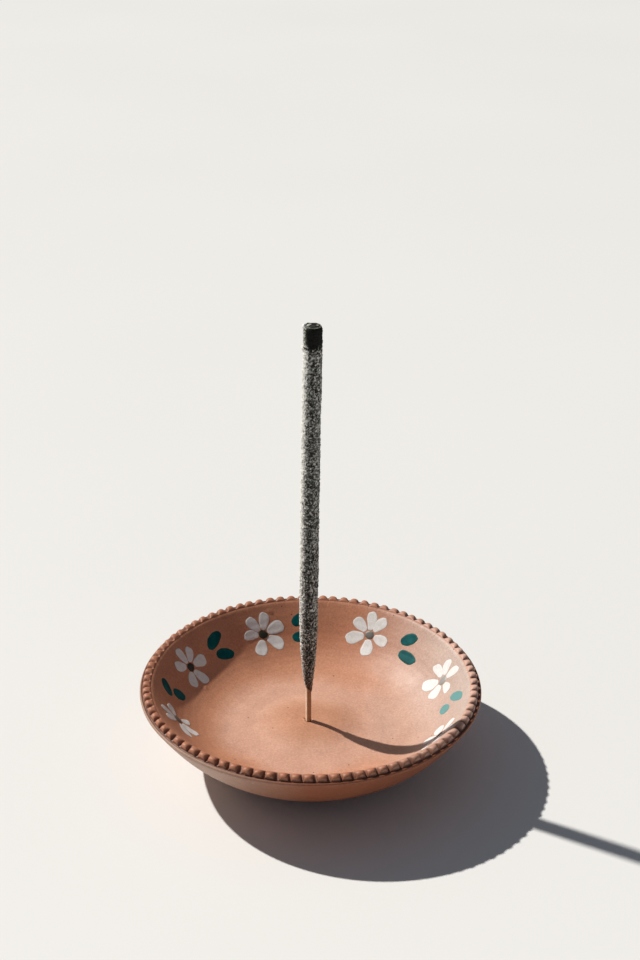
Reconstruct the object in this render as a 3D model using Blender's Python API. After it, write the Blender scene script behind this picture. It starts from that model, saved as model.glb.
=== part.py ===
"""Incense burner: a thrown clay dish with a beaded rim, and a hand-rolled incense stick standing in it.

Run with: blender --background --python part.py
Metres, +Z up. The origin is the centre of the dish's flat foot, on the surface it stands on.
"""

import math

import bmesh
import bpy

# Dish, driving dimensions
RIM_RADIUS = 0.055
LIP_HEIGHT = 0.0258
FOOT_RADIUS = 0.0270
FLOOR_HEIGHT = 0.0094
WALL_ANGLE = math.radians(50)
FLOOR_FILLET = 0.026
MOUND_RADIUS = 0.020
MOUND_TOP_RADIUS = 0.005
MOUND_RISE = 0.0017
OUTER_BELLY = (0.0450, 0.0108)
OUTER_SIDE = (0.0478, 0.0142)

# Beaded rim: a half-round roll cut across by V notches, with a narrow shoulder below it outside
BEAD_COUNT = 88
ROLL_HALF_WIDTH = 0.0019
ROLL_RISE = 0.0014
ROLL_CENTRE_LIFT = 0.0002
LIP_WIDTH = 0.0006
LIP_THICKNESS = 0.0008
NOTCH_SHARE = 0.55
BEAD_HALF_WIDTH = 0.23

# Hole that holds the stick
HOLE_RADIUS = 0.0013
HOLE_DEPTH = 0.0070
HOLE_SIDES = 22

# Incense stick
STICK_HEIGHT = 0.1372
SPLINT_RADIUS = 0.0009
SPLINT_SIDES = 12
COAT_RADIUS = 0.00303
COAT_TIP_RADIUS = 0.00145
COAT_START = 0.0130
COAT_TAPER = 0.030
TAPER_POWER = 2.4
BORE_GAP = 0.00025
CHAR_LENGTH = 0.0078
CHAR_RADIUS = 0.00292
ASH_THICKNESS = 0.0006
STICK_SIDES = 28
STICK_LIFT = 0.035
GAP = 0.0003

# Mesh detail
SHARP_ANGLE = math.radians(25)
OUTER_ROWS = 9
ROLL_ROWS = 4
FILLET_ROWS = 5
MOUND_ROWS = 5
TAPER_ROWS = 7

# Derived places
ROLL_CENTRE_RADIUS = RIM_RADIUS - LIP_WIDTH - ROLL_HALF_WIDTH
ROLL_CENTRE_HEIGHT = LIP_HEIGHT + ROLL_CENTRE_LIFT
HOLE_MOUTH = FLOOR_HEIGHT + MOUND_RISE
HOLE_BOTTOM = HOLE_MOUTH - HOLE_DEPTH
STICK_TOP = HOLE_MOUTH + STICK_HEIGHT
COAT_BOTTOM = HOLE_MOUTH + COAT_START
ASH_BOTTOM = STICK_TOP - ASH_THICKNESS
CHAR_BOTTOM = STICK_TOP - CHAR_LENGTH
BORE_RADIUS = SPLINT_RADIUS + BORE_GAP


def clear_scene():
    for obj in list(bpy.data.objects):
        bpy.data.objects.remove(obj, do_unlink=True)


def material(name, color, roughness):
    made = bpy.data.materials.new(name)
    made.use_nodes = True
    shader = made.node_tree.nodes["Principled BSDF"]
    shader.inputs["Base Color"].default_value = (*color, 1.0)
    shader.inputs["Roughness"].default_value = roughness
    shader.inputs["Metallic"].default_value = 0.0
    made.diffuse_color = (*color, 1.0)
    return made


def finished_object(name, bm, finish, parent):
    """Turn the mesh in bm into a named object, shaded smooth but for its sharp edges."""
    bmesh.ops.recalc_face_normals(bm, faces=bm.faces)
    mesh = bpy.data.meshes.new(name)
    bm.to_mesh(mesh)
    bm.free()
    mesh.shade_smooth()
    mesh.set_sharp_from_angle(angle=SHARP_ANGLE)
    mesh.materials.append(finish)
    obj = bpy.data.objects.new(name, mesh)
    bpy.context.scene.collection.objects.link(obj)
    obj.parent = parent
    return obj


def empty(name, location):
    made = bpy.data.objects.new(name, None)
    made.empty_display_size = 0.01
    made.location = location
    bpy.context.scene.collection.objects.link(made)
    return made


def polar(radius, angle, height):
    return (radius * math.cos(angle), radius * math.sin(angle), height)


# Dish


def plain_ring(bm, radius, height, count):
    """A ring of vertices that starts half a bead before +X, in line with a notch."""
    start = -math.pi / BEAD_COUNT
    return [bm.verts.new(polar(radius, start + 2 * math.pi * i / count, height)) for i in range(count)]


def beaded_ring(bm, roll_angle):
    """One row along the rim's roll, with a notch vertex and two crest vertices for each bead."""
    pitch = 2 * math.pi / BEAD_COUNT
    ring = []
    for bead in range(BEAD_COUNT):
        for offset in (-0.5, -BEAD_HALF_WIDTH, BEAD_HALF_WIDTH):
            size = 1 - NOTCH_SHARE if offset == -0.5 else 1
            radius = ROLL_CENTRE_RADIUS + size * ROLL_HALF_WIDTH * math.cos(roll_angle)
            height = ROLL_CENTRE_HEIGHT + size * ROLL_RISE * math.sin(roll_angle)
            ring.append(bm.verts.new(polar(radius, (bead + offset) * pitch, height)))
    return ring


def bridge(bm, first, second):
    """Join two rings whose counts are equal, or one a whole multiple of the other."""
    fine, coarse = (first, second) if len(first) >= len(second) else (second, first)
    step = len(fine) // len(coarse)
    for i in range(len(coarse)):
        along = [fine[(i * step + k) % len(fine)] for k in range(step + 1)]
        bm.faces.new([coarse[i], *along, coarse[(i + 1) % len(coarse)]])


def outer_wall():
    """(radius, height) up the outer wall, a cubic curve: low at the foot, nearly straight above."""
    ends = ((FOOT_RADIUS, 0.0), (RIM_RADIUS, LIP_HEIGHT - LIP_THICKNESS))
    corners = (ends[0], OUTER_BELLY, OUTER_SIDE, ends[1])
    rows = []
    for i in range(OUTER_ROWS):
        share = i / (OUTER_ROWS - 1)
        rest = 1 - share
        weights = (rest ** 3, 3 * share * rest ** 2, 3 * share ** 2 * rest, share ** 3)
        radius = sum(weight * corner[0] for weight, corner in zip(weights, corners))
        height = sum(weight * corner[1] for weight, corner in zip(weights, corners))
        rows.append((radius, height))
    return rows


def inner_wall():
    """(radius, height) from the rim down the wall, round the fillet and up the low mound round the hole."""
    edge_radius = ROLL_CENTRE_RADIUS - ROLL_HALF_WIDTH
    edge_height = ROLL_CENTRE_HEIGHT
    meets_floor = edge_radius - (edge_height - FLOOR_HEIGHT) / math.tan(WALL_ANGLE)
    fillet_start = meets_floor - FLOOR_FILLET * math.tan(WALL_ANGLE / 2)
    rows = [(edge_radius, edge_height)]
    for i in range(FILLET_ROWS, -1, -1):
        turn = WALL_ANGLE * i / FILLET_ROWS
        radius = fillet_start + FLOOR_FILLET * math.sin(turn)
        rows.append((radius, FLOOR_HEIGHT + FLOOR_FILLET * (1 - math.cos(turn))))
    for i in range(MOUND_ROWS):
        share = i / (MOUND_ROWS - 1)
        radius = MOUND_RADIUS + (MOUND_TOP_RADIUS - MOUND_RADIUS) * share
        rows.append((radius, FLOOR_HEIGHT + MOUND_RISE * share * share * (3 - 2 * share)))
    return rows


def make_dish(finish, parent):
    bm = bmesh.new()
    rings = [plain_ring(bm, radius, height, BEAD_COUNT) for radius, height in outer_wall()]
    bm.faces.new(rings[0])
    rings.append(plain_ring(bm, RIM_RADIUS - LIP_WIDTH, LIP_HEIGHT, BEAD_COUNT))
    for i in range(ROLL_ROWS):
        rings.append(beaded_ring(bm, math.pi * (i + 0.5) / ROLL_ROWS))
    rings += [plain_ring(bm, radius, height, BEAD_COUNT) for radius, height in inner_wall()]
    rings.append(plain_ring(bm, HOLE_RADIUS, HOLE_MOUTH, HOLE_SIDES))
    rings.append(plain_ring(bm, HOLE_RADIUS, HOLE_BOTTOM, HOLE_SIDES))
    for lower, upper in zip(rings, rings[1:]):
        bridge(bm, lower, upper)
    bm.faces.new(rings[-1])
    return finished_object("dish", bm, finish, parent)


# Stick


def turned(name, outline, sides, finish, parent):
    """Spin an outline of (radius, height) points round Z. A point at radius 0 closes that end."""
    bm = bmesh.new()
    points = [bm.verts.new(polar(radius, 0, height)) for radius, height in outline]
    edges = [bm.edges.new(pair) for pair in zip(points, points[1:])]
    if outline[0][0] > 0:
        edges.append(bm.edges.new((points[-1], points[0])))
    bmesh.ops.spin(
        bm,
        geom=points + edges,
        cent=(0, 0, 0),
        axis=(0, 0, 1),
        angle=2 * math.pi,
        steps=sides,
        use_merge=True,
    )
    bmesh.ops.remove_doubles(bm, verts=bm.verts, dist=1e-6)
    made = finished_object(name, bm, finish, parent)
    made.matrix_parent_inverse = parent.matrix_world.inverted()
    return made


def make_splint(finish, parent):
    """The bare bamboo foot in the hole, and the core that the incense is rolled on."""
    bottom = HOLE_BOTTOM + GAP
    chamfer = SPLINT_RADIUS / 3
    outline = [
        (0, bottom),
        (SPLINT_RADIUS - chamfer, bottom),
        (SPLINT_RADIUS, bottom + chamfer),
        (SPLINT_RADIUS, CHAR_BOTTOM - GAP),
        (0, CHAR_BOTTOM - GAP),
    ]
    return turned("bamboo_splint", outline, SPLINT_SIDES, finish, parent)


def coat_outline():
    """The coat's side, fattening from its tapered lower end to its full radius."""
    rows = []
    for i in range(TAPER_ROWS):
        share = i / (TAPER_ROWS - 1)
        radius = COAT_RADIUS - (COAT_RADIUS - COAT_TIP_RADIUS) * (1 - share) ** TAPER_POWER
        rows.append((radius, COAT_BOTTOM + COAT_TAPER * share))
    return rows


def make_coat(finish, parent):
    top = CHAR_BOTTOM - GAP
    outline = [(BORE_RADIUS, COAT_BOTTOM), *coat_outline(), (COAT_RADIUS, top), (BORE_RADIUS, top)]
    return turned("incense_coat", outline, STICK_SIDES, finish, parent)


def make_sleeve(name, bottom, top, finish, parent):
    """A length of burnt coat round the core."""
    outline = [(BORE_RADIUS, bottom), (CHAR_RADIUS, bottom), (CHAR_RADIUS, top), (BORE_RADIUS, top)]
    return turned(name, outline, STICK_SIDES, finish, parent)


def make_charred_core(finish, parent):
    outline = [(0, CHAR_BOTTOM), (SPLINT_RADIUS, CHAR_BOTTOM), (SPLINT_RADIUS, ASH_BOTTOM), (0, ASH_BOTTOM)]
    return turned("charred_core", outline, SPLINT_SIDES, finish, parent)


def main():
    clear_scene()
    terracotta = material("terracotta", (0.55, 0.27, 0.17), 0.5)
    bamboo = material("bamboo", (0.66, 0.43, 0.24), 0.6)
    incense = material("incense", (0.17, 0.17, 0.15), 0.95)
    char = material("char", (0.012, 0.012, 0.011), 0.9)
    ash = material("ash", (0.52, 0.52, 0.50), 0.95)

    dish_frame = empty("dish_frame", (0, 0, 0))
    stick_slide = empty("stick_slide", (0, 0, HOLE_BOTTOM + GAP))
    stick_slide.lock_location = (True, True, False)
    travel = stick_slide.constraints.new("LIMIT_LOCATION")
    travel.use_min_z = True
    travel.use_max_z = True
    travel.min_z = HOLE_BOTTOM + GAP
    travel.max_z = HOLE_BOTTOM + GAP + STICK_LIFT
    bpy.context.view_layer.update()

    make_dish(terracotta, dish_frame)
    make_splint(bamboo, stick_slide)
    make_coat(incense, stick_slide)
    make_sleeve("charred_tip", CHAR_BOTTOM, ASH_BOTTOM - GAP, char, stick_slide)
    make_charred_core(char, stick_slide)
    make_sleeve("ash_ring", ASH_BOTTOM, STICK_TOP, ash, stick_slide)


main()
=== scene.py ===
import math

import bpy
import numpy as np
from mathutils import Matrix, Vector


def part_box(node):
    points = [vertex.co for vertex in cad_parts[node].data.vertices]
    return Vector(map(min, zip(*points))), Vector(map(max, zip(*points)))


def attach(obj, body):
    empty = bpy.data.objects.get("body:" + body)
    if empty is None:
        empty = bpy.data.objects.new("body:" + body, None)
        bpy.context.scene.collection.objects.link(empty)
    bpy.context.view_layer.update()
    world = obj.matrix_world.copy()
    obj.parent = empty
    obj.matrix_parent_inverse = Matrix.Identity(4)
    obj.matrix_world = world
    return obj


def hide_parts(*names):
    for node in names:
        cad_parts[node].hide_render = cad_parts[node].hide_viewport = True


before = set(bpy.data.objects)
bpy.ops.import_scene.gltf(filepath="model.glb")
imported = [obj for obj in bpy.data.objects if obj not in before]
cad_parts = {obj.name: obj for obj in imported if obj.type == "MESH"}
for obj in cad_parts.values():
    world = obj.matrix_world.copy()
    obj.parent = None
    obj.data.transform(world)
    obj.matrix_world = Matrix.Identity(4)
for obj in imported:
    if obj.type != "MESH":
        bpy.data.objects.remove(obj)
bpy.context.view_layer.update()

# Everything is in metres, in the CAD's frame: +Z up, the origin under the middle of the dish.
MM = 0.001
TURN = 2 * math.pi

# Where the stick's parts are, read from the CAD
SPLINT_LOW, SPLINT_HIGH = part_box("bamboo_splint")
COAT_LOW, COAT_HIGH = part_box("incense_coat")
CHAR_LOW, CHAR_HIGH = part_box("charred_tip")
ASH_LOW, ASH_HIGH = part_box("ash_ring")

# Dish, the CAD's driving dimensions. The outer wall's four (radius, height) points are in millimetres
RIM_RADIUS = 55.0 * MM
LIP_HEIGHT = 25.8 * MM
FOOT_RADIUS = 27.0 * MM
FLOOR_HEIGHT = 9.4 * MM
WALL_ANGLE = math.radians(50)
FLOOR_FILLET = 26.0 * MM
MOUND_RADIUS = 20.0 * MM
MOUND_TOP_RADIUS = 5.0 * MM
MOUND_RISE = 1.7 * MM
OUTER_WALL = ((27.0, 0.0), (45.0, 10.8), (47.8, 14.2), (55.0, 25.0))
BEAD_COUNT = 88
EDGE_RADIUS = 50.6 * MM
EDGE_HEIGHT = 26.0 * MM

# The hole, drawn tighter round the splint than the CAD's
HOLE_RADIUS = 1.12 * MM
HOLE_MOUTH = FLOOR_HEIGHT + MOUND_RISE
HOLE_BOTTOM = SPLINT_LOW.z - 0.3 * MM

# Inner wall, from the rim down: a straight run, the fillet, the floor
MEETS_FLOOR = EDGE_RADIUS - (EDGE_HEIGHT - FLOOR_HEIGHT) / math.tan(WALL_ANGLE)
FILLET_START = MEETS_FLOOR - FLOOR_FILLET * math.tan(WALL_ANGLE / 2)
STRAIGHT_RUN = (EDGE_RADIUS - FILLET_START - FLOOR_FILLET * math.sin(WALL_ANGLE)) / math.cos(WALL_ANGLE)
FILLET_RUN = FLOOR_FILLET * WALL_ANGLE
WALL_RUN = STRAIGHT_RUN + FILLET_RUN + FILLET_START

# Camera: a 60 mm lens on a 36 mm frame, looking down at the dish from the front
CAMERA_LENS = 60.0
CAMERA_PLACE = Vector((2.27, -438.2, 307.9)) * MM
CAMERA_TILT = math.radians(25.58)
CAMERA_ROLL = math.radians(0.64)

# Light comes from the upper left, behind the dish
LIGHT_FROM = Vector((-0.42, 0.228, 0.49))

# The hole is a little left of the middle, and the stick leans and bows a little too
HOLE_SHIFT = -0.60 * MM
TOP_SHIFT = -0.22 * MM
BOW = -0.40 * MM


# Node helpers


def node(tree, kind, inputs=(), **settings):
    """Add a shader node. Each input is a plain value, or the socket that feeds it."""
    made = tree.nodes.new("ShaderNode" + kind)
    for key, value in settings.items():
        setattr(made, key, value)
    for key, value in dict(inputs).items():
        if isinstance(value, bpy.types.NodeSocket):
            tree.links.new(value, made.inputs[key])
        else:
            made.inputs[key].default_value = value
    return made


def ramp(tree, factor, stops, smooth=False):
    """A colour ramp from (position, colour) stops."""
    made = node(tree, "ValToRGB", {"Fac": factor})
    made.color_ramp.interpolation = "EASE" if smooth else "LINEAR"
    elements = made.color_ramp.elements
    while len(elements) < len(stops):
        elements.new(0.5)
    for element, (place, color) in zip(elements, stops):
        element.position = place
        element.color = (*color, 1.0)
    return made.outputs["Color"]


def grey(value):
    return (value, value, value)


def math_node(tree, operation, first, second=0.0, third=0.0, clamp=False):
    made = node(tree, "Math", {0: first, 1: second, 2: third}, operation=operation, use_clamp=clamp)
    return made.outputs[0]


def mix_color(tree, factor, first, second, blend="MIX"):
    made = node(tree, "Mix", {"Factor": factor}, data_type="RGBA", blend_type=blend)
    for place, value in ((6, first), (7, second)):
        if isinstance(value, bpy.types.NodeSocket):
            tree.links.new(value, made.inputs[place])
        else:
            made.inputs[place].default_value = (*value, 1.0)
    return made.outputs[2]


def new_material(name):
    made = bpy.data.materials.new(name)
    made.use_nodes = True
    return made, made.node_tree, made.node_tree.nodes["Principled BSDF"]


def object_place(tree):
    return node(tree, "TexCoord").outputs["Object"]


def stored(tree, name):
    """A number stored on the mesh by add_values."""
    return node(tree, "Attribute", attribute_name=name).outputs["Fac"]


def noise_at(tree, place, scale, detail=4.0, roughness=0.55, distortion=0.0):
    inputs = {"Vector": place, "Scale": scale, "Detail": detail, "Roughness": roughness}
    inputs["Distortion"] = distortion
    return node(tree, "TexNoise", inputs).outputs["Fac"]


def bump(tree, shader, height, strength, distance):
    made = node(tree, "Bump", {"Height": height, "Strength": strength, "Distance": distance})
    tree.links.new(made.outputs["Normal"], shader.inputs["Normal"])


# Mesh helpers


def make_piece(name, points, faces, material, body, smooth=True):
    mesh = bpy.data.meshes.new(name)
    mesh.from_pydata([tuple(p) for p in points], [], faces)
    mesh.materials.append(material)
    if smooth:
        mesh.shade_smooth()
    made = bpy.data.objects.new(name, mesh)
    bpy.context.scene.collection.objects.link(made)
    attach(made, body)
    return made


def add_values(piece, name, values):
    """Store one number for each vertex, for the material to read."""
    made = piece.data.attributes.new(name, "FLOAT", "POINT")
    made.data.foreach_set("value", np.asarray(values, np.float32))


def bridge(first, second, flip=False):
    """Faces between two rings of vertex numbers, with equal counts or one a multiple of the other."""
    fine_first = len(first) >= len(second)
    fine, coarse = (first, second) if fine_first else (second, first)
    step = len(fine) // len(coarse)
    faces = []
    for i in range(len(coarse)):
        along = [fine[(i * step + k) % len(fine)] for k in range(step + 1)]
        face = [*along, coarse[(i + 1) % len(coarse)], coarse[i]]
        faces.append(face if fine_first != flip else face[::-1])
    return faces


def lathe_mesh(rings):
    """Points and faces of a closed turned skin: rings of points from the bottom centre outwards and up."""
    numbers = []
    start = 0
    for ring in rings:
        numbers.append(list(range(start, start + len(ring))))
        start += len(ring)
    faces = [numbers[0][::-1]]
    for lower, upper in zip(numbers, numbers[1:]):
        faces += bridge(lower, upper)
    faces.append(numbers[-1])
    return np.concatenate(rings), faces


def waves(seed, count, most_turns, shortest, strength):
    """A hand-made wobble: sine waves round the turn and along the profile, as (turns, rate, phase, size)."""
    draw = np.random.default_rng(seed)
    turns = draw.integers(0, most_turns + 1, count)
    rates = draw.uniform(-1, 1, count) * TURN / shortest
    phases = draw.uniform(0, TURN, count)
    sizes = draw.uniform(0.4, 1.0, count)
    return turns, rates, phases, sizes * strength / sizes.sum()


def wobble(wave, angle, along):
    turns, rates, phases, sizes = wave
    total = 0
    for k, rate, phase, size in zip(turns, rates, phases, sizes):
        total = total + size * np.sin(k * angle + rate * along + phase)
    return total


def polar(radius, angle, height):
    """Points from radius, angle and height, each a number or an array."""
    radius, angle, height = np.broadcast_arrays(radius, angle, height)
    return np.stack([radius * np.cos(angle), radius * np.sin(angle), height], -1)


def turned_from(angle, degrees):
    """How far round from a direction each angle is, between minus and plus half a turn."""
    return np.angle(np.exp(1j * (angle - math.radians(degrees))))


def smoothstep(value):
    value = np.clip(value, 0, 1)
    return value * value * (3 - 2 * value)


# The dish's inner surface, which the paint follows too

INNER_WOBBLE = waves(3, 10, 5, 34 * MM, 0.22 * MM)
RING_PITCH = 2.7 * MM
RING_HEIGHT = 0.035 * MM

# Small raised nodules in the clay: degrees round the dish, millimetres below the rim's inner edge, width
NODULES = ((107.4, 1.6, 1.6), (157.1, 17.6, 1.8), (205.0, 30.0, 1.2), (262.0, 22.0, 1.6), (20.0, 34.0, 1.1))


def nodules(angle, along):
    total = 0.0
    for degrees, below, width in NODULES:
        radius = max(EDGE_RADIUS - below * 0.72 * MM, 5 * MM)
        across = turned_from(angle, degrees) * radius
        gap = (across ** 2 + (along - below * MM) ** 2) / (width / 2 * MM) ** 2
        total = total + 0.20 * width * MM * np.exp(-gap * 1.6)
    return total


def inner_relief(angle, along):
    """How far the hand-thrown inner surface stands off its plain profile."""
    rings = np.sin(TURN * along / RING_PITCH - angle + 0.8 * np.sin(2 * angle))
    fade = 0.45 - 0.20 * smoothstep((along - 12 * MM) / (20 * MM))
    near_hole = smoothstep((WALL_RUN - along) / (8 * MM))
    near_rim = smoothstep(along / (6 * MM))
    uneven = (wobble(INNER_WOBBLE, angle, along) + RING_HEIGHT * rings * fade) * near_hole * near_rim
    return uneven + nodules(angle, along)


def inner_point(angle, along, lift=0.0):
    """Points on the inner surface, along metres below the rim's inner edge, lifted off it by lift."""
    turn = np.clip(WALL_ANGLE - (along - STRAIGHT_RUN) / FLOOR_FILLET, 0, WALL_ANGLE)
    above = np.clip(STRAIGHT_RUN - along, 0, None)
    beyond = np.clip(along - STRAIGHT_RUN - FILLET_RUN, 0, None)
    off = inner_relief(angle, along) + lift
    radius = FILLET_START + FLOOR_FILLET * np.sin(turn) + above * math.cos(WALL_ANGLE) - beyond
    radius = radius - off * np.sin(turn)
    mound = MOUND_RISE * smoothstep((MOUND_RADIUS - radius) / (MOUND_RADIUS - MOUND_TOP_RADIUS))
    height = FLOOR_HEIGHT + mound + FLOOR_FILLET * (1 - np.cos(turn)) + above * math.sin(WALL_ANGLE)
    return polar(radius, angle, height + off * np.cos(turn))


# Dish

WALL_SAMPLES = 4 * BEAD_COUNT
ROLL_ROWS = 18
OUTER_ROWS = 40
FOOT_EDGE = 1.0 * MM
HALF_BEAD_STEPS = (0.09, 0.18, 0.26, 0.33, 0.38, 0.42, 0.46)
BEAD_STEPS = (-0.5, *(-step for step in HALF_BEAD_STEPS[::-1]), 0.0, *HALF_BEAD_STEPS)
BEAD_SHARE_OUTSIDE = 0.375
BEAD_SHARE_INSIDE = 0.46

# The roll that the beads are cut from: its middle, its reach outwards, inwards and up, and where its section
# starts and ends, in degrees up from its outer side
BEAD_RADIUS = 53.05 * MM
BEAD_HEIGHT = 26.45 * MM
BEAD_OUTER_HALF = 0.95 * MM
BEAD_INNER_HALF = 1.65 * MM
BEAD_RISE = 1.18 * MM
ROLL_START = -12
ROLL_END = 168

# The floor of a cut: how far out it starts, as a share of the bead's reach, and its rise on the way in
CUT_OUTER_SHARE = 0.88
CUT_HEIGHT = 25.60 * MM
CUT_RISE = 1.20 * MM
CUT_RISE_START = 54.1 * MM
CUT_RISE_RUN = 2.4 * MM

# In millimetres: the ledge's (radius, height), and the shoulder's from the top of the outer wall
LEDGE = ((51.30, 26.60), (50.85, 26.42), (50.25, 25.58), (49.64, 24.85))
LEDGE_SHARES = (0.10, 0.25, 0.45, 0.70, 0.95)
SHOULDER = ((-0.02, 0.26), (-0.10, 0.52), (-0.26, 0.70), (-0.46, 0.76), (-0.68, 0.66), (-0.90, 0.42))
# Painted shade: how dark the last rows of the outer shoulder are painted, in the groove under the beads
GROOVE_PAINTED_SHADE = (0.0, 0.3, 0.8, 1.0, 1.0)


def plain_angles(count):
    return (np.arange(count) / count - 0.5 / BEAD_COUNT) * TURN


def bezier(points, share):
    """A place on a cubic curve through four (radius, height) points in millimetres."""
    weights = ((1 - share) ** 3, 3 * share * (1 - share) ** 2, 3 * share ** 2 * (1 - share), share ** 3)
    return sum(w * np.array(point) for w, point in zip(weights, points)) * MM


class Beads:
    """The hand-cut beads along the rim, each of its own length, height and lean."""

    def __init__(self):
        draw = np.random.default_rng(11)
        pitch = TURN / BEAD_COUNT
        self.steps = np.tile(BEAD_STEPS, BEAD_COUNT)
        places = np.arange(BEAD_COUNT) + draw.uniform(-0.05, 0.05, BEAD_COUNT)
        self.angle = (places.repeat(len(BEAD_STEPS)) + self.steps) * pitch
        self.power = self.each(draw.uniform(2.0, 2.5, BEAD_COUNT))
        self.wide = self.each(draw.uniform(0.93, 1.0, BEAD_COUNT))
        self.rise = self.each(draw.uniform(0.90, 1.04, BEAD_COUNT))
        self.reach = self.each(draw.uniform(0.94, 1.03, BEAD_COUNT))
        self.lean = self.each(draw.uniform(-0.05, 0.05, BEAD_COUNT) * pitch)

    def each(self, values):
        return values.repeat(len(BEAD_STEPS))

    def shape(self, outwards):
        """How far up its bead each point is, 0 in the cut and 1 on the crest. Cuts are wider outside."""
        share = BEAD_SHARE_INSIDE + (BEAD_SHARE_OUTSIDE - BEAD_SHARE_INSIDE) * (1 + outwards) / 2
        across = np.clip(np.abs(self.steps) / (share * self.wide), 0, 1)
        return (1 - across ** self.power) ** (1 / self.power)

    def ring(self, turn):
        """One row over the beads: a round crest on each bead, and the floor of the cut between two."""
        outwards = math.cos(turn)
        shape = self.shape(outwards)
        half = BEAD_OUTER_HALF if outwards > 0 else BEAD_INNER_HALF
        radius = BEAD_RADIUS + half * self.reach * outwards
        height = BEAD_HEIGHT + BEAD_RISE * self.rise * math.sin(turn)
        floor_radius = BEAD_RADIUS + half * (CUT_OUTER_SHARE if outwards > 0 else 1.0) * outwards
        inwards = np.clip((CUT_RISE_START - floor_radius) / CUT_RISE_RUN, 0, 1)
        floor_height = np.minimum(CUT_HEIGHT + CUT_RISE * inwards, height)
        radius = floor_radius + (radius - floor_radius) * shape
        height = floor_height + (height - floor_height) * shape
        return polar(radius, self.angle + self.lean * outwards, height)

    def painted_crevice_shade(self, turn):
        """How dark each point of one row is painted, as shade: in the cuts and under the beads."""
        under = np.clip(1 - (math.degrees(turn) - ROLL_START) / 26, 0, 1)
        fade = smoothstep(np.clip(1.25 + math.cos(turn), 0, 1))
        return np.maximum(fade * (1 - self.shape(math.cos(turn))) ** 0.7, 0.9 * under)

    def ledge(self, share):
        """A row where the cuts run out onto the inner wall."""
        radius, height = bezier(LEDGE, share)
        dent = 0.06 * MM * (1 - self.shape(-1)) * (1 - share) ** 2
        return polar(radius, self.angle - self.lean * (1 - share), height - dent)


def outer_rows():
    """(radius, height, freedom to wobble) under the foot, up the outer wall and over its shoulder."""
    rows = [(FOOT_RADIUS * share, 0.0, 0.0) for share in (0.25, 0.5, 0.75, 0.93)]
    for turn in np.radians((0, 25, 50, 75)):
        radius = FOOT_RADIUS - FOOT_EDGE * (1 - math.sin(turn))
        rows.append((radius, FOOT_EDGE * 0.35 * (1 - math.cos(turn)), 0.0))
    top = LIP_HEIGHT - 0.8 * MM
    for i in range(1, OUTER_ROWS + 1):
        share = i / OUTER_ROWS
        radius, height = bezier(OUTER_WALL, share)
        rows.append((radius, max(height, FOOT_EDGE * 0.36), math.sin(math.pi * share)))
    rows += [(RIM_RADIUS + inward * MM, top + up * MM, 0.0) for inward, up in SHOULDER]
    return rows


def outer_rings():
    wave = waves(7, 9, 4, 40 * MM, 0.2 * MM)
    angle = plain_angles(WALL_SAMPLES)
    rings = []
    for radius, height, free in outer_rows():
        turned = 0.03 * MM * np.sin(TURN * height / (2.1 * MM) + angle)
        rings.append(polar(radius + free * (wobble(wave, angle, height) + turned), angle, height))
    return rings


def inner_rings():
    """Rings down the inner wall, across the floor and into the hole."""
    rings = []
    along = 2.0 * MM
    for count, end in ((WALL_SAMPLES, 12.0), (WALL_SAMPLES // 2, 5.0), (WALL_SAMPLES // 8, 1.9)):
        while along < WALL_RUN - end * MM:
            rings.append(inner_point(plain_angles(count), along))
            along += 0.62 * MM
    return rings + hole_rings(WALL_SAMPLES // 8)


def hole_rings(count):
    """The pricked hole, a little off centre, with a worn, uneven mouth."""
    angle = plain_angles(count)
    chipped = 1 + 0.06 * np.sin(3 * angle + 1) + 0.04 * np.sin(5 * angle)
    rings = []
    for wider, height in ((0.40, 0.0), (0.16, -0.05), (0.02, -0.18), (-0.05, -0.5), (-0.05, -2.5)):
        rings.append(polar((HOLE_RADIUS + wider * MM) * chipped, angle, HOLE_MOUTH + height * MM))
    rings.append(polar(HOLE_RADIUS * 0.9, angle, HOLE_BOTTOM))
    for ring in rings:
        ring[:, 0] += HOLE_SHIFT
    return rings


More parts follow.
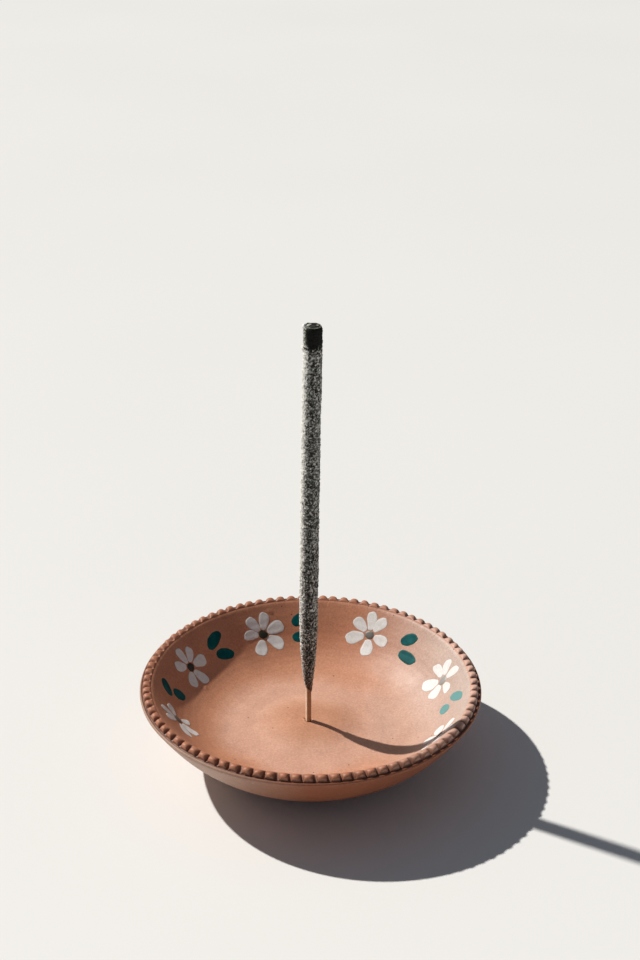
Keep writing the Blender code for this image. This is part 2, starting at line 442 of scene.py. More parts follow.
def clay_color(tree, place):
    """Zones from the middle outwards: reddish, pale, orange. A pale painted sheen covers the right of the
    inside.

    Outside it is browner, with a paler painted reflection on the left. The beads are worn, and painted shade
    darkens their cuts and undersides.
    """
    flat = node(tree, "VectorMath", {0: place, 1: (1, 1, 0)}, operation="MULTIPLY").outputs[0]
    radius = node(tree, "VectorMath", {0: flat}, operation="LENGTH").outputs["Value"]
    drift = math_node(tree, "MULTIPLY", noise_at(tree, place, 38, detail=3), 0.24)
    reach = math_node(tree, "SUBTRACT", math_node(tree, "DIVIDE", radius, RIM_RADIUS), 0.12)
    zones = [
        (0.0, (0.56, 0.265, 0.155)),
        (0.15, (0.57, 0.280, 0.170)),
        (0.30, (0.635, 0.358, 0.256)),
        (0.46, (0.635, 0.358, 0.258)),
        (0.60, (0.58, 0.262, 0.150)),
        (0.80, (0.55, 0.228, 0.122)),
        (1.0, (0.56, 0.245, 0.138)),
    ]
    inside = ramp(tree, math_node(tree, "ADD", reach, drift), zones)
    across = node(tree, "SeparateXYZ", {"Vector": place}).outputs["X"]
    # Painted sheen: the inside turns pale towards the right, where the light's reflection falls
    painted_sheen = math_node(tree, "MULTIPLY_ADD", across, 1 / (34 * MM), -0.50, clamp=True)
    painted_sheen = math_node(tree, "MULTIPLY", painted_sheen, 0.85)
    inside = mix_color(tree, painted_sheen, inside, (0.53, 0.465, 0.425))
    # Painted reflection of the lit floor: the outside is paler towards the left
    painted_left_reflection = math_node(tree, "MULTIPLY_ADD", across, -1 / (32 * MM), clamp=True)
    outer = mix_color(tree, painted_left_reflection, (0.31, 0.094, 0.038), (0.43, 0.265, 0.190))
    outside = stored(tree, "outside")
    color = mix_color(tree, outside, inside, outer)
    worn = stored(tree, "worn")
    # The beads' worn colour, made paler on the right by the painted sheen
    worn_and_sheen_color = mix_color(tree, painted_sheen, (0.46, 0.180, 0.098), (0.66, 0.42, 0.335))
    color = mix_color(tree, worn, color, worn_and_sheen_color)
    # Painted shade: a near-black brown laid into the cuts and under the beads
    painted_crevice_shade = stored(tree, "painted_crevice_shade")
    return mix_color(tree, math_node(tree, "MULTIPLY", painted_crevice_shade, 0.80), color, (0.115, 0.032, 0.013))


def clay_specks(tree, place, scale, size, share):
    """A mask of sparse round specks."""
    spots = node(tree, "TexVoronoi", {"Vector": place, "Scale": scale}, feature="F1")
    chance = node(tree, "TexWhiteNoise", {"Vector": spots.outputs["Position"]}).outputs["Value"]
    near = math_node(tree, "LESS_THAN", spots.outputs["Distance"], size)
    return math_node(tree, "MULTIPLY", near, math_node(tree, "GREATER_THAN", chance, 1 - share))


def clay_material():
    material, tree, shader = new_material("burnished_clay")
    place = object_place(tree)
    color = clay_color(tree, place)
    blotches = noise_at(tree, place, 115, detail=5, roughness=0.6)
    blotches = ramp(tree, blotches, [(0.35, (0.93, 0.91, 0.90)), (0.68, grey(1.06))])
    color = mix_color(tree, 1.0, color, blotches, "MULTIPLY")
    grain = noise_at(tree, place, 1500, detail=3, roughness=0.7)
    grain_tone = ramp(tree, grain, [(0.3, grey(0.80)), (0.7, grey(1.12))])
    color = mix_color(tree, 1.0, color, grain_tone, "MULTIPLY")
    pits = clay_specks(tree, place, 240.0, 0.055, 0.22)
    color = mix_color(tree, pits, color, (0.10, 0.035, 0.02))
    flecks = clay_specks(tree, place, 520.0, 0.075, 0.10)
    color = mix_color(tree, flecks, color, (0.70, 0.52, 0.42))
    tree.links.new(color, shader.inputs["Base Color"])
    smear = noise_at(tree, place, 170, detail=4)
    rough = ramp(tree, smear, [(0.3, grey(0.50)), (0.7, grey(0.60))])
    tree.links.new(rough, shader.inputs["Roughness"])
    shader.inputs["Specular IOR Level"].default_value = 0.55
    fine = noise_at(tree, place, 900, detail=6, roughness=0.65)
    height = math_node(tree, "SUBTRACT", fine, math_node(tree, "MULTIPLY", pits, 1.5))
    bump(tree, shader, height, 0.38, 0.12 * MM)
    return material


def store_stretch(piece, name, start, values):
    """Store values for one run of the piece's points, and 0 for the rest."""
    stretch = np.zeros(len(piece.data.vertices))
    stretch[start: start + len(values)] = values
    add_values(piece, name, stretch)


def make_dish(material):
    beads = Beads()
    outer = outer_rings()
    turns = np.radians(np.linspace(ROLL_START, ROLL_END, ROLL_ROWS))
    roll = [beads.ring(turn) for turn in turns]
    ledge = [beads.ledge(share) for share in LEDGE_SHARES]
    points, faces = lathe_mesh(outer + roll + ledge + inner_rings())
    dish = make_piece("clay_dish", points, faces, material, "dish")
    groove = outer[-len(GROOVE_PAINTED_SHADE):]
    # Painted shade in the groove under the beads and in the cuts between them, stored for the clay material
    painted_crevice_shade = [np.full(len(ring), dark) for ring, dark in zip(groove, GROOVE_PAINTED_SHADE)]
    painted_crevice_shade += [beads.painted_crevice_shade(turn) for turn in turns]
    roll_start = sum(len(ring) for ring in outer)
    roll_end = roll_start + sum(len(ring) for ring in roll)
    store_stretch(dish, "outside", 0, np.ones(roll_start))
    store_stretch(dish, "worn", roll_start, np.ones(roll_end - roll_start))
    store_stretch(dish, "painted_crevice_shade", roll_start - sum(len(ring) for ring in groove), np.concatenate(painted_crevice_shade))
    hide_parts("dish")


# Painted flowers and leaves: raised strokes of paint on the inner wall

PAINT_THICKNESS = 0.13 * MM
PAINT_SUNK = 0.10 * MM
STROKE_ROWS = 26
STROKE_COLUMNS = 15
PETAL = {"tip": 2.3, "root": 1.6, "foot": 0.40, "fattest": 0.62}
LEAF = {"tip": 2.1, "root": 2.2, "foot": 0.42, "fattest": 0.50}


class Spot:
    """A place on the inner wall: its angle round the dish and its distance below the rim's inner edge."""

    def __init__(self, degrees, along):
        self.angle = math.radians(degrees)
        self.along = along * MM

    def on_wall(self, right, up, lift):
        """Points a distance to the right of and above the spot, seen from the middle of the dish."""
        along = self.along - up
        turn = np.clip(WALL_ANGLE - (along - STRAIGHT_RUN) / FLOOR_FILLET, 0, WALL_ANGLE)
        above = np.clip(STRAIGHT_RUN - along, 0, None)
        radius = FILLET_START + FLOOR_FILLET * np.sin(turn) + above * math.cos(WALL_ANGLE)
        return inner_point(self.angle - right / radius, along, lift)


def stroke_outline(t, kind):
    """A stroke's half width along its length, as a share of its greatest: narrow root, broad round tip."""
    fattest = kind["fattest"]
    rise = np.clip(1 - t / fattest, 0, 1)
    fall = np.clip((t - fattest) / (1 - fattest), 0, 1)
    root = kind["foot"] + (1 - kind["foot"]) * (1 - rise ** kind["root"])
    root = root * (1 - np.clip(1 - t / 0.10, 0, 1) ** 3)
    return np.where(t < fattest, root, (1 - fall ** kind["tip"]) ** (1 / kind["tip"]))


def stroke(spot, start, heading, length, width, draw, kind):
    """One brush stroke as a closed shell, thickest a little inside its edge."""
    t = 0.5 - 0.5 * np.cos(np.linspace(0, math.pi, STROKE_ROWS))[:, None]
    v = np.sin(np.linspace(-1, 1, STROKE_COLUMNS) * math.pi / 2)[None, :]
    half = width / 2 * np.clip(stroke_outline(t, kind), 0.02, None)
    for turns in (1, 2, 3):
        phase = draw.uniform(0, TURN, 2)
        ragged = 0.035 / turns * np.sin(TURN * t * turns + np.where(v > 0, phase[0], phase[1]))
        half = half * (1 + ragged * np.abs(v))
    bend = draw.uniform(-0.06, 0.06) * length * np.sin(math.pi * t)
    crooked = draw.uniform(-0.05, 0.05) * length * v * t ** 3
    forward = start + length * t + crooked
    sideways = half * v + bend
    right = forward * math.cos(heading) - sideways * math.sin(heading)
    up = forward * math.sin(heading) + sideways * math.cos(heading)
    edge = np.clip(np.maximum(np.abs(v), np.abs(2 * t - 1) ** 3), 0, 1)
    body = (1 - edge ** 6) * (0.78 + 0.22 * edge ** 2) * (0.72 + 0.28 * t)
    brushed = 0.07 * np.sin(v * 10 + 3 * np.sin(3 * t + draw.uniform(0, TURN)))
    lift = PAINT_THICKNESS * np.clip(body * (1 + brushed), 0, None)
    top = spot.on_wall(right, up, lift - 0.01 * MM)
    under = spot.on_wall(right, up, np.full_like(lift, -PAINT_SUNK))
    return top.reshape(-1, 3), under.reshape(-1, 3), edge.ravel()


def shell_faces(offset):
    """Faces of one stroke: its top, its underside and the strip that closes the edge between them."""
    rows, columns = STROKE_ROWS, STROKE_COLUMNS
    count = rows * columns
    top = [[r * columns + c for c in range(columns)] for r in range(rows)]
    faces = []
    for r in range(rows - 1):
        for c in range(columns - 1):
            face = [top[r][c], top[r][c + 1], top[r + 1][c + 1], top[r + 1][c]]
            faces.append(face)
            faces.append([number + count for number in face[::-1]])
    border = top[0][:-1] + [row[-1] for row in top[:-1]] + top[-1][:0:-1] + [row[0] for row in top[:0:-1]]
    for a, b in zip(border, border[1:] + border[:1]):
        faces.append([b, a, a + count, b + count])
    return [[number + offset for number in face] for face in faces]


def make_strokes(name, strokes, material, thin=0.0):
    points, faces, edges = [], [], []
    start = 0
    for top, under, edge in strokes:
        points += [top, under]
        edges += [edge, np.ones_like(edge)]
        faces += shell_faces(start)
        start += 2 * len(top)
    piece = make_piece(name, np.concatenate(points), faces, material, "dish")
    add_values(piece, "edge", np.concatenate(edges))
    add_values(piece, "thin", np.full(start, thin))
    return piece


def dab(name, spot, size, material, thin, draw):
    """A flower's centre: a roundish dab of thick paint, a little longer than wide, with an uneven edge."""
    sides, rows = 64, 10
    angle = np.arange(sides) / sides * TURN
    phase = draw.uniform(0, TURN, 3)
    uneven = 1 + 0.07 * np.sin(2 * angle + phase[0]) + 0.04 * np.sin(3 * angle + phase[1])
    uneven = uneven + 0.02 * np.sin(7 * angle + phase[2])
    wide, tall = size
    rings = [spot.on_wall(wide / 2 * uneven * np.cos(angle), tall / 2 * uneven * np.sin(angle), -PAINT_SUNK)]
    for i in range(rows):
        share = math.cos(math.pi / 2 * i / rows)
        lift = 0.22 * MM * (1 - share ** 4) - 0.01 * MM
        right = wide / 2 * share * uneven * np.cos(angle)
        up = tall / 2 * share * uneven * np.sin(angle)
        rings.append(spot.on_wall(right, up, lift))
    points, faces = lathe_mesh(rings)
    piece = make_piece(name, points, faces, material, "dish")
    add_values(piece, "thin", np.full(len(points), thin))
    return piece


def thin_and_sheen_paint(tree, color, pale):
    """Paler where the stored thin value is high: thin paint, and a painted sheen on some strokes."""
    thin = stored(tree, "thin")
    return mix_color(tree, thin, color, pale)


def petal_material():
    material, tree, shader = new_material("white_paint")
    place = object_place(tree)
    edge = stored(tree, "edge")
    streaks = noise_at(tree, place, 900, detail=3)
    color = ramp(tree, streaks, [(0.25, (0.70, 0.69, 0.68)), (0.7, (0.83, 0.825, 0.82))])
    thin = ramp(tree, edge, [(0.86, grey(0.0)), (1.0, grey(1.0))])
    color = mix_color(tree, thin, color, (0.30, 0.19, 0.14))
    tree.links.new(color, shader.inputs["Base Color"])
    rough = ramp(tree, noise_at(tree, place, 300, detail=2), [(0.3, grey(0.42)), (0.7, grey(0.54))])
    tree.links.new(rough, shader.inputs["Roughness"])
    shader.inputs["Specular IOR Level"].default_value = 0.35
    bump(tree, shader, noise_at(tree, place, 1400, detail=3), 0.15, 0.05 * MM)
    return material


def leaf_material():
    material, tree, shader = new_material("teal_paint")
    place = object_place(tree)
    edge = stored(tree, "edge")
    drift = noise_at(tree, place, 420, detail=3)
    color = ramp(tree, drift, [(0.3, (0.0, 0.050, 0.058)), (0.7, (0.0, 0.120, 0.124))])
    thin = ramp(tree, edge, [(0.80, grey(0.0)), (1.0, grey(1.0))])
    color = mix_color(tree, thin, color, (0.055, 0.085, 0.045))
    # Paler where the paint is thin, and where a painted sheen is laid on
    color = thin_and_sheen_paint(tree, color, (0.22, 0.46, 0.46))
    tree.links.new(color, shader.inputs["Base Color"])
    rough = ramp(tree, noise_at(tree, place, 260, detail=2), [(0.3, grey(0.40)), (0.7, grey(0.52))])
    tree.links.new(rough, shader.inputs["Roughness"])
    shader.inputs["Specular IOR Level"].default_value = 0.12
    bump(tree, shader, noise_at(tree, place, 1400, detail=3), 0.15, 0.05 * MM)
    return material


def centre_material():
    material, tree, shader = new_material("olive_black_paint")
    place = object_place(tree)
    drift = noise_at(tree, place, 700, detail=3)
    color = ramp(tree, drift, [(0.3, (0.010, 0.010, 0.004)), (0.7, (0.030, 0.030, 0.012))])
    # Paler where the paint is thin, and where a painted sheen is laid on
    color = thin_and_sheen_paint(tree, color, (0.40, 0.395, 0.385))
    tree.links.new(color, shader.inputs["Base Color"])
    shader.inputs["Roughness"].default_value = 0.48
    bump(tree, shader, drift, 0.2, 0.05 * MM)
    return material


# Each flower: degrees round the dish, millimetres below the rim's inner edge, how pale its centre's paint is
# (thin paint, and a painted sheen on some), and for each petal its heading in degrees and how many
# millimetres it reaches from the flower's middle
FLOWERS = [
    (63.5, 8.7, 0.35, ((101, 8.3), (55, 8.1), (-9, 7.3), (-84, 7.6), (-159, 8.5), (147, 8.2))),
    (112.4, 9.7, 0.0, ((74, 7.9), (19, 8.2), (-43, 8.1), (-110, 7.8), (174, 7.1), (123, 8.0))),
    (154.9, 9.3, 0.0, ((51, 7.5), (-3, 8.0), (-79, 7.9), (-131, 7.4), (144, 7.5), (94, 7.9))),
    (193.5, 11.1, 0.3, ((88, 8.1), (36, 6.6), (125, 8.0), (-65, 5.8), (-116, 8.2), (-160, 8.2))),
    (244.0, 9.5, 0.0, ((92, 8.0), (34, 7.8), (-28, 7.6), (-88, 7.9), (-146, 8.1), (152, 7.7))),
    (287.0, 9.3, 0.1, ((80, 7.9), (22, 8.1), (-40, 7.5), (-100, 8.0), (-160, 7.6), (140, 8.0))),
    (334.0, 8.5, 0.2, ((84, 7.4), (26, 7.8), (-34, 7.4), (-96, 7.6), (-152, 7.9), (146, 7.6))),
    (14.5, 8.5, 0.75, ((129, 8.0), (80, 7.5), (-1, 6.6), (-70, 7.4), (-129, 8.8), (172, 8.4))),
]
# Each pair of leaves: how pale the paint is (thin paint, and a painted sheen on some), then for both degrees
# round the dish, millimetres below the edge, length, width and heading
LEAVES = [
    (0.0, (135.8, 6.3, 8.0, 4.3, 29), (133.9, 12.1, 7.0, 4.3, -20)),
    (0.0, (176.7, 5.9, 6.8, 4.0, 49), (174.0, 11.2, 5.6, 4.4, -70)),
    (0.0, (95.5, 5.8, 6.0, 4.2, 36), (95.5, 11.6, 5.6, 4.0, 16)),
    (0.0, (44.8, 5.3, 6.8, 4.3, 36), (41.3, 11.0, 8.0, 4.3, -4)),
    (0.6, (-2.2, 5.3, 7.8, 3.9, 40), (-3.6, 10.7, 5.2, 4.2, 30)),
    (0.0, (227.0, 6.2, 7.2, 4.2, 40), (226.0, 11.6, 6.6, 4.1, -25)),
    (0.1, (265.0, 6.0, 7.0, 4.2, 32), (263.0, 11.4, 6.8, 4.0, -15)),
    (0.1, (311.5, 5.8, 7.2, 4.1, 38), (309.5, 11.3, 6.6, 4.3, -20)),
]


PETAL_GAP = 0.40 * MM


def petal_width(heading, petals, start, length):
    """As wide as the room between its neighbours allows, so that a strip of clay shows on each side."""
    gaps = [abs((heading - other + 180) % 360 - 180) for other, _ in petals if other != heading]
    room = 2 * math.sin(math.radians(min(min(gaps), 66) / 2)) * (start + PETAL["fattest"] * length)
    return min(room - PETAL_GAP, 0.80 * length)


def make_flowers():
    white, teal, olive = petal_material(), leaf_material(), centre_material()
    draw = np.random.default_rng(29)
    for i, (degrees, along, thin, petals) in enumerate(FLOWERS, 1):
        spot = Spot(degrees, along)
        strokes = []
        for heading, reach in petals:
            start = draw.uniform(1.55, 1.95) * MM
            length = reach * MM - start
            width = petal_width(heading, petals, start, length) * draw.uniform(0.93, 1.0)
            strokes.append(stroke(spot, start, math.radians(heading), length, width, draw, PETAL))
        make_strokes(f"flower_{i}_petals", strokes, white)
        size = (draw.uniform(2.8, 3.2) * MM, draw.uniform(3.1, 3.7) * MM)
        dab(f"flower_{i}_centre", spot, size, olive, thin, draw)
    for i, (thin, *pair) in enumerate(LEAVES, 1):
        strokes = []
        for degrees, along, length, width, heading in pair:
            spot = Spot(degrees, along)
            start = -length / 2 * MM
            strokes.append(stroke(spot, start, math.radians(heading), length * MM, width * MM, draw, LEAF))
        make_strokes(f"leaves_{i}", strokes, teal, thin)


# Incense stick

GRAIN_SIZE = 0.38 * MM
GRAIN_STEP = 0.168 * MM
GRAIN_ROD_RADIUS = 3.0 * MM
COAT_REACH = (COAT_HIGH.x - COAT_LOW.x) / 2
COAT_TOP = COAT_HIGH.z + 1.4 * MM
COAT_FATTENS = 30 * MM


def bowed(points):
    """The same points, moved sideways with the stick's lean and bow."""
    share = np.clip((points[..., 2] - SPLINT_LOW.z) / (ASH_HIGH.z - SPLINT_LOW.z), 0, 1)
    moved = points.copy()
    moved[..., 0] += HOLE_SHIFT * (1 - share) + TOP_SHIFT * share + BOW * 4 * share * (1 - share)
    return moved


def grain_field(angle, height, radius, seed, size=GRAIN_SIZE):
    """Loose grains packed over a rod: each point's distance to its grain's middle, and the grain's luck."""
    across = max(8, round(TURN * radius / size))
    up = int(math.ceil((height.max() - height.min()) / size)) + 3
    draw = np.random.default_rng(seed)
    jitter = draw.uniform(0.08, 0.92, (across, up, 2))
    luck = draw.uniform(0, 1, (across, up, 2))
    x = angle / TURN * across
    y = (height - height.min()) / size + 1
    column, row = np.floor(x).astype(int), np.floor(y).astype(int)
    nearest = np.full(x.shape, np.inf)
    picked = np.zeros((*x.shape, 2))
    for i in (-1, 0, 1):
        for j in (-1, 0, 1):
            c, r = (column + i) % across, np.clip(row + j, 0, up - 1)
            gap = np.hypot(x - (column + i) - jitter[c, r, 0], y - (row + j) - jitter[c, r, 1])
            closer = gap < nearest
            nearest = np.where(closer, gap, nearest)
            picked[closer] = luck[c, r][closer]
    return nearest, picked


def rod_grid(low, high, radius, step):
    count = round(TURN * radius / step)
    rows = round((high - low) / step)
    angle = np.arange(count) / count * TURN
    height = np.linspace(low, high, rows)
    return np.meshgrid(angle, height)


def coat_radius(angle, height):
    """The hand-rolled coat's side: thin at its foot, at full width some 3 cm up, with a curled top edge."""
    share = np.clip((height - COAT_LOW.z) / COAT_FATTENS, 0, 1)
    side = COAT_REACH - 0.20 * MM - 1.70 * MM * (1 - share) ** 2.4
    curl = np.exp(-(turned_from(angle, 186) / 0.34) ** 2)
    curl = curl * np.exp(-((height - COAT_TOP + 0.5 * MM) / (0.75 * MM)) ** 2)
    return side + 0.62 * MM * curl


def char_radius(_angle, height):
    """The burnt length: a little thinner than the coat, rounded over at its top, and the same all round."""
    top = np.clip((height - CHAR_HIGH.z + 0.7 * MM) / (0.95 * MM), 0, 1)
    return COAT_REACH - 0.24 * MM - 0.55 * MM * (1 - np.sqrt(1 - top ** 2))


COAT_WOBBLE = waves(17, 12, 3, 15 * MM, 0.20 * MM)
COAT_LUMPS = waves(23, 30, 9, 2.6 * MM, 0.14 * MM)


def painted_side_light(angle, height):
    """Painted light and shade: paler down the lit left side, more so higher up, and a band at the front
    painted darker.
    """
    edge = np.clip(np.cos(angle - math.radians(194)), 0, 1) ** 3
    upper = np.clip((height - COAT_LOW.z) / (COAT_HIGH.z - COAT_LOW.z), 0, 1)
    front = np.exp(-(turned_from(angle, 262) / 0.55) ** 2)
    return (0.25 + 0.65 * upper) * edge - 0.16 * front


def crust_skin(low, high, base, seed, roughness):
    """Rows of points over a length of gritty stick, with the tone of each point, painted light and shade
    included.
    """
    angle, height = rod_grid(low, high, COAT_REACH, GRAIN_STEP)
    near, luck = grain_field(angle, height, GRAIN_ROD_RADIUS, seed)
    big_near, big_luck = grain_field(angle, height, GRAIN_ROD_RADIUS, seed + 1, GRAIN_SIZE * 2.1)
    grain = np.sqrt(np.clip(1 - (near / 0.85) ** 2, 0, 1)) * (luck[..., 0] - 0.35)
    coarse = np.sqrt(np.clip(1 - (big_near / 0.75) ** 2, 0, 1)) * (big_luck[..., 0] - 0.45)
    reach = base(angle, height) + wobble(COAT_WOBBLE, angle, height) + wobble(COAT_LUMPS, angle, height)
    reach = reach + roughness * (grain * 0.26 + coarse * 0.22) * MM
    tone = 0.66 * luck[..., 1] + 0.24 * big_luck[..., 1] + 0.42 * (grain + 0.12)
    return polar(reach, angle, height), tone + painted_side_light(angle, height)


def crust_material(name, stops):
    """Grains in a paste. Each grain's tone is stored on the mesh, and noise speckles it more finely."""
    material, tree, shader = new_material(name)
    place = object_place(tree)
    tone = stored(tree, "tone")
    speckle = noise_at(tree, place, 2600, detail=3, roughness=0.8)
    finer = math_node(tree, "MULTIPLY", math_node(tree, "SUBTRACT", speckle, 0.5), 0.6)
    color = ramp(tree, math_node(tree, "ADD", tone, finer), stops)
    foot = stored(tree, "foot")
    color = mix_color(tree, foot, color, (0.13, 0.060, 0.030))
    tree.links.new(color, shader.inputs["Base Color"])
    shader.inputs["Roughness"].default_value = 0.9
    shader.inputs["Specular IOR Level"].default_value = 0.3
    bump(tree, shader, speckle, 0.4, 0.08 * MM)
    return material


def ragged_foot(points):
    """Pull the coat's lowest rows into a ragged edge, which reaches furthest down on the right.

    Gives how brown each point is: the paste is thin enough to show the splint there.
    """
    low = points[0, 0, 2]
    angle = np.arange(points.shape[1]) / points.shape[1] * TURN
    skin = np.exp(-((angle - math.radians(318)) / 0.42) ** 2)
    ripple = 0.30 * np.sin(3 * angle + 1.2) + 0.15 * np.sin(8 * angle)
    shift = 0.9 * np.cos(angle + 0.3) + ripple + 1.1 * skin
    share = np.clip(1 - (points[..., 2] - low) / (6 * MM), 0, 1) ** 2
    points[..., 2] -= share * shift * MM
    return share * smoothstep(0.45 + 0.55 * np.cos(angle - math.radians(325))) * 0.8


def top_darkening(points):
    """1 where the burn reaches down into the top of the coat, at the front."""
    angle = np.arctan2(points[..., 1], points[..., 0])
    below = (COAT_TOP - points[..., 2]) / MM
    edge = 0.3 + 0.9 * np.cos(angle - math.radians(275)) + 0.25 * np.sin(7 * angle)
    return smoothstep((edge - below) / 0.5)


def make_coat():
    """The unburnt coat, down to its ragged foot where the bare splint comes out."""
    points, tone = crust_skin(COAT_LOW.z, COAT_TOP, coat_radius, 41, 1.0)
    tone = tone * (1 - 0.8 * top_darkening(points))
    foot = ragged_foot(points)
    bottom = points[0] * (0.55, 0.55, 1.0)
    bottom[:, 2] += 0.5 * MM
    top = points[-1] * (0.3, 0.3, 1.0)
    mesh_points, faces = lathe_mesh([bottom, *points, top])
    stops = [(0.20, (0.014, 0.014, 0.011)), (0.50, (0.12, 0.118, 0.105)), (0.75, (0.42, 0.415, 0.385))]
    material = crust_material("incense_crust", [*stops, (1.0, (0.78, 0.765, 0.72))])
    coat = make_piece("incense_crust", bowed(mesh_points), faces, material, "stick")
    add_values(coat, "tone", np.concatenate([tone[0], tone.ravel(), tone[-1]]))
    add_values(coat, "foot", np.concatenate([foot[0], foot.ravel(), foot[-1]]))
    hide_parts("incense_coat")


def make_char():
    """The burnt length, black with a few specks on the right, with a grey painted highlight down its left
    side.
    """
    points, tone = crust_skin(CHAR_LOW.z - 0.3 * MM, ASH_LOW.z, char_radius, 57, 0.75)
    angle = np.arctan2(points[..., 1], points[..., 0])
    above = (points[..., 2] - CHAR_LOW.z - 1.2 * MM) / (CHAR_HIGH.z - CHAR_LOW.z)
    edge = 0.02 - 0.10 * np.cos(angle - math.radians(275)) + 0.05 * np.sin(5 * angle)
    burnt = smoothstep((above - edge) / 0.16)
    # Painted highlight: the char is painted greyer down its lit left side
    left = smoothstep((np.cos(angle - math.radians(196)) - 0.60) / 0.40)
    tone = tone * (1 - burnt * (0.78 - 0.30 * left)) - 0.04 * burnt
    right = smoothstep((np.cos(angle - math.radians(318)) - 0.55) / 0.30)
    specks = right * (np.sin(47 * angle + 9000 * points[..., 2]) > 0.75)
    tone = tone + 0.34 * specks * burnt
    bottom = points[0] * (0.3, 0.3, 1.0)
    shoulder = points[-1] * (0.90, 0.90, 1.0)
    shoulder[:, 2] += 0.08 * MM
    top = points[-1] * (0.30, 0.30, 1.0)
    top[:, 2] -= 0.15 * MM
    mesh_points, faces = lathe_mesh([bottom, *points, shoulder, top])
    stops = [(0.14, (0.003, 0.003, 0.002)), (0.38, (0.009, 0.009, 0.006)), (0.56, (0.10, 0.105, 0.080))]
    material = crust_material("char_crust", [*stops, (0.85, (0.52, 0.51, 0.47))])
    char = make_piece("char_crust", bowed(mesh_points), faces, material, "stick")
    add_values(char, "tone", np.concatenate([tone[0], tone.ravel(), tone[-1] * 0.6, tone[-1] * 0.5]))
    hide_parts("charred_tip")


def ash_material():
    material, tree, shader = new_material("pale_ash")
    place = object_place(tree)
    flakes = noise_at(tree, place, 1500, detail=5, roughness=0.7)
    tones = [(0.32, (0.03, 0.03, 0.025)), (0.52, (0.16, 0.16, 0.13)), (0.70, (0.50, 0.50, 0.45))]
    color = ramp(tree, flakes, tones)
    white = stored(tree, "white")
    color = mix_color(tree, white, color, (0.86, 0.85, 0.82))
    tree.links.new(color, shader.inputs["Base Color"])
    shader.inputs["Roughness"].default_value = 0.95
    bump(tree, shader, flakes, 0.6, 0.10 * MM)
    return material


def lump(place, size, seed):
    """A crumb of ash as a closed lumpy shell."""
    sides, rows = 20, 11
    angle = np.arange(sides) / sides * TURN
    wave = waves(seed, 8, 4, 2.2, 0.45)
    rings = []
    for i in range(1, rows):
        tilt = math.pi * i / rows
        swell = 1 + wobble(wave, angle, tilt)
        rings.append(polar(swell * math.sin(tilt), angle, -swell * math.cos(tilt)) * np.array(size) * MM / 2)
    points, faces = lathe_mesh(rings)
    return points + np.array(place), faces


def ash_rim():
    """The thin uneven rim of ash round the burnt end, as rings round its section."""
    sides, section = 120, 10
    angle = np.arange(sides) / sides * TURN
    uneven = wobble(waves(71, 14, 11, 5 * MM, 1.0), angle, 0.0)
    left = smoothstep((-np.cos(angle) - 0.2) / 0.6)
    half = (0.17 + 0.09 * uneven + 0.08 * left) * MM
    middle = (ASH_HIGH.x - ASH_LOW.x) / 2 - 0.62 * MM + 0.25 * uneven * MM
    rings = []
    for turn in np.arange(section) / section * TURN:
        rise = ASH_LOW.z + 0.02 * MM + half * (0.9 + 0.5 * left) * math.sin(turn)
        rings.append(polar(middle + half * math.cos(turn), angle, rise))
    faces = []
    numbers = [list(range(k * sides, (k + 1) * sides)) for k in range(section)]
    for k in range(section):
        faces += bridge(numbers[k], numbers[(k + 1) % section])
    return np.concatenate(rings), faces


def make_ash(material):
    """Ash on the burnt end: a thin rim, flat flakes inside it, and two white lumps on the left edge."""
    shells = [(*ash_rim(), 0.0)]
    # Each crumb's place from the middle of the top and its size, in millimetres, and how white it is
    crumbs = [
        ((-2.52, -0.50, -0.12), (1.25, 1.45, 1.75), 1.0),
        ((-2.60, 0.30, -0.45), (0.90, 1.10, 1.20), 1.0),
        ((-1.45, 0.35, 0.0), (1.10, 1.40, 0.34), 0.45),
        ((-0.9, 1.35, 0.0), (1.10, 0.80, 0.30), 0.4),
        ((1.35, 0.75, -0.05), (0.90, 1.20, 0.26), 0.1),
    ]
    for k, ((x, y, z), size, white) in enumerate(crumbs):
        place = (x * MM, y * MM, ASH_LOW.z + z * MM)
        shells.append((*lump(place, size, 90 + k), white))
    points, faces, tones = [], [], []
    start = 0
    for shell_points, shell, white in shells:
        points.append(shell_points)
        faces += [[number + start for number in face] for face in shell]
        tones.append(np.full(len(shell_points), white))
        start += len(shell_points)
    ash = make_piece("ash_crown", bowed(np.concatenate(points)), faces, material, "stick")
    add_values(ash, "white", np.concatenate(tones))
    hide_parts("ash_ring")


def make_core_end():
    """The charred end of the splint, a dark plug inside the ash."""
    material, tree, shader = new_material("charred_wood")
    place = object_place(tree)
    cells = noise_at(tree, place, 2600, detail=4)
    tree.links.new(ramp(tree, cells, [(0.3, grey(0.003)), (0.75, grey(0.02))]), shader.inputs["Base Color"])
    shader.inputs["Roughness"].default_value = 0.85
    bump(tree, shader, cells, 0.5, 0.08 * MM)
    low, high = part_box("charred_core")
    angle = np.arange(32) / 32 * TURN
    radius = (high.x - low.x) / 2
    uneven = 1 + 0.06 * np.sin(5 * angle) + 0.05 * np.sin(3 * angle + 2)
    outline = [(0.6, low.z), (1.0, low.z + 0.1 * MM), (1.0, high.z - 0.15 * MM)]
    outline += [(0.9, high.z), (0.5, high.z - 0.12 * MM)]
    rings = [polar(radius * share * uneven, angle, height) for share, height in outline]
    points, faces = lathe_mesh(rings)
    core = make_piece("core_end", bowed(points), faces, material, "stick")
    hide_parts("charred_core")


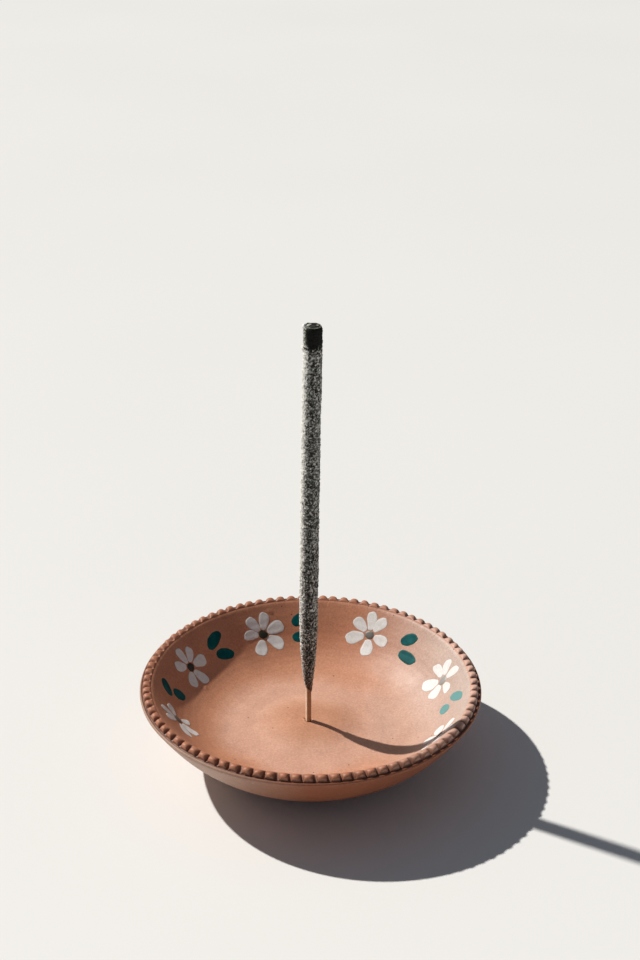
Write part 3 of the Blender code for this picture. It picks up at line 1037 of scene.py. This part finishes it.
def bamboo_material():
    material, tree, shader = new_material("bamboo")
    place = object_place(tree)
    stretched = node(tree, "VectorMath", {0: place, 1: (1, 1, 0.06)}, operation="MULTIPLY").outputs[0]
    fibres = noise_at(tree, stretched, 5200, detail=4, roughness=0.7)
    flesh_tones = [(0.3, (0.86, 0.62, 0.46)), (0.55, (0.95, 0.80, 0.64)), (0.75, (0.96, 0.88, 0.74))]
    shaded_face_tones = [(0.3, (0.26, 0.12, 0.06)), (0.55, (0.46, 0.25, 0.14)), (0.75, (0.60, 0.38, 0.23))]
    flesh = ramp(tree, fibres, flesh_tones)
    skin = ramp(tree, fibres, shaded_face_tones)
    # Painted shade: the right face is painted dark brown, standing in for shade and reflected clay colour
    right_face_painted_shade = stored(tree, "right_face_painted_shade")
    color = mix_color(tree, right_face_painted_shade, flesh, skin)
    patches = ramp(tree, noise_at(tree, place, 300, detail=2), [(0.35, grey(0.82)), (0.65, grey(1.05))])
    color = mix_color(tree, 1.0, color, patches, "MULTIPLY")
    tree.links.new(color, shader.inputs["Base Color"])
    shader.inputs["Roughness"].default_value = 0.55
    bump(tree, shader, fibres, 0.5, 0.08 * MM)
    return material


def make_splint(material):
    """The splint: split bamboo, squarish with worn corners, narrower at its foot, with painted shade on its
    right face.
    """
    low, high = SPLINT_LOW.z, SPLINT_HIGH.z
    angle = np.arange(36) / 36 * TURN
    turned = angle - math.radians(32)
    square = 1 / (np.abs(np.cos(turned)) ** 7 + np.abs(np.sin(turned)) ** 7) ** (1 / 7)
    half_side = 0.82 * (SPLINT_HIGH.x - SPLINT_LOW.x) / 2
    wave = waves(83, 12, 5, 7 * MM, 0.06 * MM)
    hidden_from = COAT_LOW.z + 8 * MM
    rings = []
    for height in [*np.linspace(low, hidden_from, 150), high]:
        reach = half_side * square + wobble(wave, angle, height)
        rings.append(polar(reach, angle, height))
    rings[0] = rings[0] * (0.8, 0.8, 1.0)
    points, faces = lathe_mesh(rings)
    splint = make_piece("split_bamboo", bowed(points), faces, material, "stick")
    # Painted shade on the right face
    right_face_painted_shade = smoothstep(0.5 + 2.2 * np.cos(angle - math.radians(318)))
    add_values(splint, "right_face_painted_shade", np.tile(right_face_painted_shade, len(rings)))
    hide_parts("bamboo_splint")


# Stage, light and camera


def make_stage():
    material, tree, shader = new_material("pale_floor")
    place = object_place(tree)
    tone = ramp(tree, noise_at(tree, place, 3.0, detail=2), [(0.3, grey(0.79)), (0.7, grey(0.81))])
    tree.links.new(tone, shader.inputs["Base Color"])
    shader.inputs["Roughness"].default_value = 0.7
    bump(tree, shader, noise_at(tree, place, 220, detail=4), 0.05, 0.2 * MM)
    angle = plain_angles(WALL_SAMPLES // 4)
    points = np.concatenate([polar(radius, angle, 0.0) for radius in (0.3, 1.5, 5.0, 14.0)])
    sides = len(angle)
    faces = [list(range(sides))]
    for k in range(3):
        inner = list(range(k * sides, (k + 1) * sides))
        outer = list(range((k + 1) * sides, (k + 2) * sides))
        faces += bridge(outer, inner)
    mesh = bpy.data.meshes.new("studio_floor")
    mesh.from_pydata([tuple(p) for p in points], [], faces)
    mesh.materials.append(material)
    mesh.validate()
    floor = bpy.data.objects.new("studio_floor", mesh)
    bpy.context.scene.collection.objects.link(floor)


def make_light():
    lamp = bpy.data.lights.new("key", "SUN")
    lamp.energy = 4.25
    lamp.angle = math.radians(1.2)
    lamp.color = (1.0, 0.96, 0.89)
    key = bpy.data.objects.new("key", lamp)
    key.rotation_mode = "QUATERNION"
    key.rotation_quaternion = (-LIGHT_FROM).to_track_quat("-Z", "Y")
    bpy.context.scene.collection.objects.link(key)
    world = bpy.data.worlds.new("studio")
    world.use_nodes = True
    background = world.node_tree.nodes["Background"]
    background.inputs["Color"].default_value = (0.80, 0.88, 1.0, 1.0)
    background.inputs["Strength"].default_value = 0.155
    bpy.context.scene.world = world


def make_camera():
    right = Vector((1, 0, 0))
    forward = Vector((0, math.cos(CAMERA_TILT), -math.sin(CAMERA_TILT)))
    up = Vector((0, math.sin(CAMERA_TILT), math.cos(CAMERA_TILT)))
    rolled_right = right * math.cos(CAMERA_ROLL) + up * math.sin(CAMERA_ROLL)
    rolled_up = up * math.cos(CAMERA_ROLL) - right * math.sin(CAMERA_ROLL)
    data = bpy.data.cameras.new("camera")
    data.lens = CAMERA_LENS
    data.sensor_width = 36.0
    camera = bpy.data.objects.new("camera", data)
    turned = Matrix((rolled_right, rolled_up, -forward)).transposed().to_4x4()
    camera.matrix_world = Matrix.Translation(CAMERA_PLACE) @ turned
    bpy.context.scene.collection.objects.link(camera)
    bpy.context.scene.camera = camera


make_camera()
make_light()
make_stage()
make_dish(clay_material())
make_flowers()
make_splint(bamboo_material())
make_coat()
make_char()
make_ash(ash_material())
make_core_end()
bpy.context.scene.view_settings.view_transform = "Standard"
